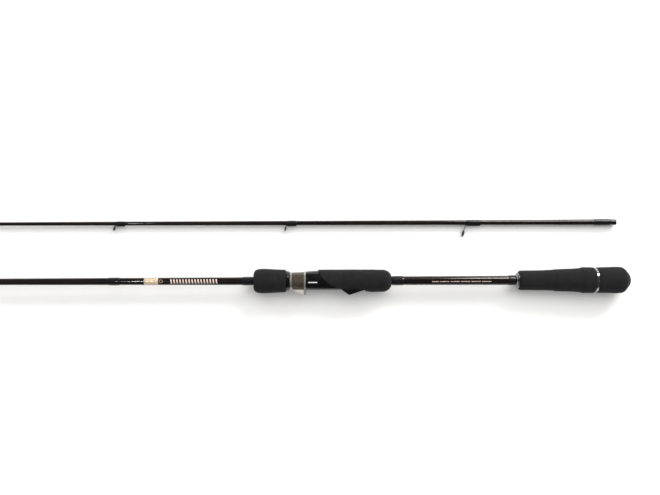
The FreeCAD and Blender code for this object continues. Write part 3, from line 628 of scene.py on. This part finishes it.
outline = [
    (388.65, 11.6, 0.6),
    (389.7, 12.75, 1.0),
    (403.0, 13.35, 7.0),
    (416.0, 14.05, 5.0),
    (422.7, 12.95, 2.6),
    (424.9, 10.2, 0.9),
    (424.9, 5.6),
    (421.05, 5.6),
    (421.05, 9.62),
    (388.65, 9.62),
]
grip = sand_unevenly(turned(outline, BUTT_END, BUTT_AXIS, 112, 1.1), SANDING_DEPTH)
piece = keep("fore_grip_foam", grip, foam, "nut_and_foregrip", "foam", "foregrip")


def remeshed(node, cell, passes):
    """A CAD node's shape as an even net of cells with its corners worn round."""
    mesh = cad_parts[node].data.copy()
    block = bpy.data.objects.new("block", mesh)
    bpy.context.scene.collection.objects.link(block)
    net = block.modifiers.new("net", "REMESH")
    net.mode = "VOXEL"
    net.voxel_size = cell * MM
    graph = bpy.context.evaluated_depsgraph_get()
    shape = bmesh.new()
    shape.from_mesh(bpy.data.meshes.new_from_object(block.evaluated_get(graph)))
    bpy.data.objects.remove(block)
    for _ in range(passes):
        bmesh.ops.smooth_vert(
            shape,
            verts=shape.verts,
            factor=0.5,
            use_axis_x=True,
            use_axis_y=True,
            use_axis_z=True,
        )
    return shape


grip = sand_unevenly(remeshed("seat_grip", 0.45, 3), PALM_SANDING_DEPTH)
piece = keep("palm_grip_foam", grip, foam, "butt_section", "foam", "seat_grip")


# ---------------------------------------------------------------- bright metal rings
# Turned aluminium: a polished ring in the recess between the two rear foams, and the cone in
# front of the long one that covers the end of its bore. Both are glued to the tube.
SILVER = (0.60, 0.60, 0.62, 1)
SILVER_DULL = (0.30, 0.30, 0.32, 1)
PLATING_BRIGHT = (0.34, 0.34, 0.35, 1)
PLATING_DULL = (0.10, 0.10, 0.11, 1)


def turned_metal(name, bright, dull, smooth, rough, metallic=1.0):
    """Metal with the fine rings that a lathe leaves and a few dull patches."""
    material, tree, shader, where = finish_of(name, Metallic=metallic, Coat_Weight=0.3)
    patches = use(tree, CLOUDING, {0: where, 1: 260.0})[0]
    tree.links.new(mixed(tree, patches, bright, dull), shader.inputs["Base Color"])
    tree.links.new(scaled(tree, patches, smooth, rough), shader.inputs["Roughness"])
    stretched = add(tree, "Mapping", {"Vector": where, "Scale": (1, 0.02, 0.02)}).outputs[0]
    rings = add(tree, "TexNoise", {"Vector": stretched, "Scale": 9000.0}).outputs[0]
    bumped(tree, shader, rings, 0.12, 0.00003)
    return material


silver = turned_metal("polished aluminium", SILVER, SILVER_DULL, 0.1, 0.28)
outline = [
    (37.4, 13.2, 0.3),
    (37.8, 13.45, 0.3),
    (39.1, 13.45, 0.2),
    (39.4, 13.1, 0.15),
    (39.9, 13.1, 0.15),
    (40.2, 13.45, 0.2),
    (41.5, 13.45, 0.3),
    (41.9, 13.2, 0.3),
    (41.9, butt_radius(41)),
    (37.4, butt_radius(37)),
]
ring = turned(outline, BUTT_END, BUTT_AXIS, 96, 0.5)
keep("accent_ring_metal", ring, silver, "butt_section", "polished_metal", "accent_ring")

smoke = turned_metal("dark plating", PLATING_BRIGHT, PLATING_DULL, 0.08, 0.2)
outline = [
    (126.7, 9.1, 0.25),
    (127.5, 9.1, 0.3),
    (127.8, 8.6, 0.2),
    (128.3, 8.3, 0.4),
    (129.6, 6.3, 0.3),
    (129.6, butt_radius(129)),
    (126.7, butt_radius(126)),
]
ring = turned(outline, BUTT_END, BUTT_AXIS, 80, 0.4)
keep("check_cone", ring, smoke, "butt_section", "polished_metal", "winding_check")


# ---------------------------------------------------------------- reel seat
# One moulding in glossy black plastic: a shank inside the palm grip, the body with its flat bed
# for the reel's foot, the pointed fixed hood, and the keyed barrel that the lock nut runs on.
GLOSS_BLACK = (0.0022, 0.0022, 0.0025, 1)
GLOSS_SMEAR = (0.0052, 0.0052, 0.006, 1)


def glossy_moulding():
    material, tree, shader, where = finish_of(
        "glossy moulding", Coat_Weight=0.55, Coat_Roughness=0.04, Specular_IOR_Level=0.2
    )
    smears = use(tree, CLOUDING, {0: where, 1: 90.0})[0]
    tree.links.new(mixed(tree, smears, GLOSS_BLACK, GLOSS_SMEAR), shader.inputs["Base Color"])
    tree.links.new(scaled(tree, smears, 0.16, 0.34), shader.inputs["Roughness"])
    skin = add(tree, "TexNoise", {"Vector": where, "Scale": 500.0, "Detail": 1.0}).outputs[0]
    bumped(tree, shader, skin, 0.05, 0.0001)
    return material


moulding = glossy_moulding()
seat = softened("reel_seat_body", 0.45, 3, 28.0)
piece = keep("reel_seat_moulding", seat, moulding, "butt_section", "seat_plastic", "reel_seat_body")
even_shading(piece)


# ---------------------------------------------------------------- sliding hood
# A smoky brown metal hood over a keyed liner. Its lip takes the front of the reel's foot and is
# left bright. A polished rim is pressed on at each end.
HOOD_BROWN = (0.105, 0.080, 0.054, 1)
HOOD_SMOKE = (0.030, 0.024, 0.018, 1)
LIP_SILVER = (0.56, 0.55, 0.51, 1)
LIP_DULL = (0.38, 0.37, 0.33, 1)
RIM_BRIGHT = (0.55, 0.54, 0.50, 1)
RIM_DULL = (0.27, 0.26, 0.23, 1)
LIP_FROM = 9.4


def smoky_metal():
    material, tree, shader, where = finish_of(
        "smoky metal", Metallic=0.35, Coat_Weight=0.6, Coat_Roughness=0.08
    )
    drawn_out = add(tree, "Mapping", {"Vector": where, "Scale": (1, 0.35, 0.35)}).outputs[0]
    smoke_share = use(tree, CLOUDING, {0: drawn_out, 1: 520.0})[0]
    colour = mixed(tree, smoke_share, HOOD_BROWN, HOOD_SMOKE)
    tree.links.new(colour, shader.inputs["Base Color"])
    tree.links.new(scaled(tree, smoke_share, 0.24, 0.42), shader.inputs["Roughness"])
    bumped(tree, shader, smoke_share, 0.3, 0.00008)
    return material


hood = softened("moving_hood", 0.25, 3, 28.0)
bmesh.ops.bisect_plane(
    hood,
    geom=list(hood.verts) + list(hood.edges) + list(hood.faces),
    plane_co=(0, BUTT_AXIS.y - LIP_FROM * MM, 0),
    plane_no=(0, 1, 0),
)
for face in hood.faces:
    outward = (BUTT_AXIS.y - face.calc_center_median().y) / MM
    face.material_index = 1 if outward > LIP_FROM else 0
bright_lip = turned_metal("bright lip", LIP_SILVER, LIP_DULL, 0.3, 0.45, 0.3)
piece = keep(
    "hood_shell", hood, [smoky_metal(), bright_lip], "hood", "hood_metal", "moving_hood"
)
even_shading(piece)
rim_metal = turned_metal("hood rim", RIM_BRIGHT, RIM_DULL, 0.12, 0.26, 0.65)
for name in ("hood_front_rim", "hood_mouth_rim"):
    rim = softened(name, 0.12, 3)
    even_shading(keep(name + "_metal", rim, rim_metal, "hood", "polished_metal", name))


# ---------------------------------------------------------------- lock nut collar
# A turned ring in dark anodised aluminium between the foam and the hood, with a cut groove.
COLLAR_DARK = (0.10, 0.095, 0.11, 1)
COLLAR_EDGE = (0.045, 0.042, 0.05, 1)
outline = [
    (385.25, 11.0, 0.3),
    (385.7, 11.45, 0.35),
    (386.3, 11.45, 0.15),
    (386.55, 11.15, 0.12),
    (386.85, 11.15, 0.12),
    (387.1, 11.45, 0.15),
    (388.1, 11.45, 0.35),
    (388.6, 11.0, 0.3),
    (388.6, 9.62),
    (385.25, 9.62),
]
anodised = turned_metal("dark anodised", COLLAR_DARK, COLLAR_EDGE, 0.14, 0.24)
ring = turned(outline, BUTT_END, BUTT_AXIS, 96, 0.4)
keep("nut_collar_metal", ring, anodised, "nut_and_foregrip", "collar_metal", "nut_collar")


# ---------------------------------------------------------------- inner pieces
# Pieces that the outside hides: the lock nut under the fore grip, the hood's liner, the bushes
# that centre the seat on the tube and the plug in the tube's butt end.
ARBOR = (0.24, 0.22, 0.19, 1)
ARBOR_DARK = (0.15, 0.135, 0.115, 1)
RUBBER = (0.012, 0.012, 0.012, 1)
RUBBER_DUST = (0.03, 0.03, 0.03, 1)


def plain_moulded(name, first, second, roughness):
    material, tree, shader, where = finish_of(name)
    grain = use(tree, CLOUDING, {0: where, 1: 380.0})[0]
    tree.links.new(mixed(tree, grain, first, second), shader.inputs["Base Color"])
    tree.links.new(scaled(tree, grain, roughness, roughness + 0.15), shader.inputs["Roughness"])
    bumped(tree, shader, grain, 0.2, 0.00005)
    return material


bush = plain_moulded("moulded bush", ARBOR, ARBOR_DARK, 0.6)
rubber = plain_moulded("black rubber", RUBBER, RUBBER_DUST, 0.7)
inner_finishes = {
    "lock_nut": moulding,
    "hood_liner": moulding,
    "rear_arbor": bush,
    "front_arbor": bush,
    "butt_plug": rubber,
}
for name, material in inner_finishes.items():
    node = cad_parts[name]
    node.data.materials.clear()
    node.data.materials.append(material)


# ---------------------------------------------------------------- printed marks
# Flat prints under the varnish on top of the butt tube: a sand-coloured band, a plain ring, a
# row of plain slanted bars and a line of small dashes. The reel seat has a white index dash.
# None of them is lettering.
SAND = (0.70, 0.56, 0.39, 1)
SAND_DARK = (0.42, 0.31, 0.19, 1)
PALE_PINK = (0.82, 0.66, 0.60, 1)
PALE_PINK_DARK = (0.50, 0.34, 0.29, 1)
MARK_WHITE = (0.86, 0.86, 0.86, 1)
MARK_GREY = (0.6, 0.6, 0.6, 1)
PRINT_THICKNESS = 0.03
BAND_START, BAND_STOP = 532.6, 548.6
HOOP_AT, HOOP_ASIDE, HOOP_RADIUS = 529.3, 0.3, 1.9
BARS_START, BARS_STOP, BAR_COUNT = 465.2, 519.6, 16
DASHES_START, DASHES_STOP = 158.0, 224.5


def printed(name, first, second):
    material, tree, shader, where = finish_of(name, Coat_Weight=1.0, Coat_Roughness=0.05)
    patchy = use(tree, CLOUDING, {0: where, 1: 700.0})[0]
    tree.links.new(mixed(tree, patchy, first, second), shader.inputs["Base Color"])
    tree.links.new(scaled(tree, patchy, 0.35, 0.5), shader.inputs["Roughness"])
    return material


def flat_mark(shape, x, y, length, width, slant=0.0):
    """Adds one flat mark at (x, y), with its ends slanted."""
    matrix = Matrix.Translation((x, y, 0)) @ Matrix.Diagonal((length / 2, width / 2, 1, 1))
    steps = max(2, math.ceil(width / 0.6))
    mark = bmesh.ops.create_grid(shape, x_segments=2, y_segments=steps, size=1, matrix=matrix)
    for vertex in mark["verts"]:
        vertex.co.x += slant * (vertex.co.y - y)


def wrap_on(shape, axis, radius_at, lift=0.02):
    """Lays flat marks, drawn as (along, around), on the top of a tube and thickens them."""
    for vertex in shape.verts:
        along, around = vertex.co.x, vertex.co.y
        radius = radius_at(along) + lift
        turn = around / radius
        vertex.co = Vector(
            (
                BUTT_END - along * MM,
                axis.y + radius * MM * math.sin(turn),
                axis.z + radius * MM * math.cos(turn),
            )
        )
    bmesh.ops.recalc_face_normals(shape, faces=shape.faces)
    for face in shape.faces:
        if face.normal.z < 0:
            face.normal_flip()
    bmesh.ops.solidify(shape, geom=shape.faces, thickness=-PRINT_THICKNESS * MM)
    return shape


band = bmesh.new()
flat_mark(band, (BAND_START + BAND_STOP) / 2, 0, BAND_STOP - BAND_START, 9.0)
bmesh.ops.subdivide_edges(band, edges=band.edges, cuts=2, use_grid_fill=True)
wrap_on(band, BUTT_AXIS, butt_radius)
keep("sand_band", band, printed("sand print", SAND, SAND_DARK), "butt_section", "carbon_blank")

hoop = bmesh.new()
hoop_centre = Matrix.Translation((HOOP_AT, HOOP_ASIDE, 0))
bmesh.ops.create_circle(hoop, segments=32, radius=HOOP_RADIUS, matrix=hoop_centre)
drawn_in = bmesh.ops.extrude_edge_only(hoop, edges=hoop.edges)
inner = [item for item in drawn_in["geom"] if isinstance(item, bmesh.types.BMVert)]
hoop_origin = Matrix.Translation((-HOOP_AT, -HOOP_ASIDE, 0))
bmesh.ops.scale(hoop, verts=inner, vec=(0.8, 0.8, 1), space=hoop_origin)
wrap_on(hoop, BUTT_AXIS, butt_radius)
keep("sand_hoop", hoop, bpy.data.materials["sand print"], "butt_section", "carbon_blank")

bars = bmesh.new()
pitch = (BARS_STOP - BARS_START) / BAR_COUNT
for number in range(BAR_COUNT):
    flat_mark(bars, BARS_START + pitch * (number + 0.5), 0, 0.5 * pitch, 5.0, 0.18)
wrap_on(bars, BUTT_AXIS, butt_radius)
pink = printed("pale pink print", PALE_PINK, PALE_PINK_DARK)
keep("slanted_bars", bars, pink, "butt_section", "carbon_blank")

dashes = bmesh.new()
along = DASHES_START
count = 0
while along < DASHES_STOP:
    length = 0.9 + 0.7 * abs(math.sin(2.7 * count))
    flat_mark(dashes, along + length / 2, -1.0, length, 0.9, 0.1)
    along += length + (1.6 if count % 6 == 5 else 0.45)
    count += 1
wrap_on(dashes, BUTT_AXIS, butt_radius)
keep("small_dashes", dashes, pink, "butt_section", "carbon_blank")


def seat_radius(along):
    """The reel seat's body, which narrows a little over its last 10 mm."""
    return 11.5 - 0.06 * max(0.0, along - 356.0)


index = bmesh.new()
flat_mark(index, 358.5, -1.3, 10.2, 1.1)
bmesh.ops.subdivide_edges(index, edges=index.edges, cuts=2, use_grid_fill=True)
wrap_on(index, BUTT_AXIS, seat_radius)
white = printed("white print", MARK_WHITE, MARK_GREY)
keep("index_dash", index, white, "butt_section", "seat_plastic")


# ---------------------------------------------------------------- table, light and camera
# A pale table top under a wide soft light that no gloss shows. A window-like light at the far
# right draws the long highlights on the tubes, and a small lamp adds a glint. The camera looks
# straight down.
TABLE_HALF = 8.0
TABLE_PALE = (0.90, 0.895, 0.885, 1)
TABLE_PALEST = (0.925, 0.92, 0.915, 1)
table = bmesh.new()
bmesh.ops.create_grid(table, x_segments=8, y_segments=8, size=TABLE_HALF)
bmesh.ops.translate(table, verts=table.verts, vec=(0, 0, cad_low.z))
table_mesh = bpy.data.meshes.new("table_top")
table.to_mesh(table_mesh)
table.free()
table_top = bpy.data.objects.new("table_top", table_mesh)
bpy.context.scene.collection.objects.link(table_top)
material, tree, shader, where = finish_of("pale table", Roughness=0.75, Specular_IOR_Level=0.2)
tone = use(tree, CLOUDING, {0: where, 1: 14.0})[0]
pale = mixed(tree, tone, TABLE_PALE, TABLE_PALEST)
tree.links.new(pale, shader.inputs["Base Color"])
table_mesh.materials.append(material)

ROOM_FILL = 0.60
ROOM_SEEN_IN_GLOSS = 0.07
world = bpy.data.worlds.new("room")
world.use_nodes = True
sky = world.node_tree
rays = add(sky, "LightPath", {}).outputs["Is Glossy Ray"]
strength = scaled(sky, rays, ROOM_FILL, ROOM_SEEN_IN_GLOSS)
sky.links.new(strength, sky.nodes["Background"].inputs["Strength"])
sky.nodes["Background"].inputs["Color"].default_value = (1.0, 1.0, 1.0, 1)
bpy.context.scene.world = world

OVERHEAD_POWER, LAMP_POWER, WINDOW_POWER = 64.0, 2.2, 58.0
DAYLIGHT = (1.0, 0.98, 0.96)


def area_light(name, place, target, width, depth, power, colour=(1, 1, 1)):
    lamp = bpy.data.lights.new(name, "AREA")
    lamp.shape = "RECTANGLE"
    lamp.size, lamp.size_y = width, depth
    lamp.energy = power
    lamp.color = colour
    holder = bpy.data.objects.new(name, lamp)
    bpy.context.scene.collection.objects.link(holder)
    holder.location = place
    holder.rotation_euler = (Vector(target) - Vector(place)).to_track_quat("-Z", "Y").to_euler()
    return holder


overhead = area_light("overhead", (0.5, 1.5, 2.2), (0.2, 0.1, 0), 4.0, 2.4, OVERHEAD_POWER)
overhead.visible_glossy = False
overhead.visible_camera = False
glint = area_light("small_lamp", (-0.43, -0.02, 1.6), (-0.1, 0.0, 0), 0.07, 0.07, LAMP_POWER)
glint.visible_diffuse = False
area_light("window", (1.42, 2.1, 1.35), (0.3, 0.0, 0), 1.3, 0.6, WINDOW_POWER, DAYLIGHT)

LOOK_AT = Vector((0.219, 0.0195, BUTT_AXIS.z))
CAMERA_HEIGHT = 0.80
VIEW_WIDTH = 0.746
ROLL = math.radians(-0.17)
SENSOR_WIDTH = 36.0
camera_data = bpy.data.cameras.new("camera")
camera_data.sensor_width = SENSOR_WIDTH
camera_data.lens = SENSOR_WIDTH * CAMERA_HEIGHT / VIEW_WIDTH
camera = bpy.data.objects.new("camera", camera_data)
camera.location = LOOK_AT + Vector((0, 0, CAMERA_HEIGHT))
camera.rotation_euler = (0, 0, ROLL)
bpy.context.scene.collection.objects.link(camera)
bpy.context.scene.camera = camera
bpy.context.scene.view_settings.view_transform = "Standard"
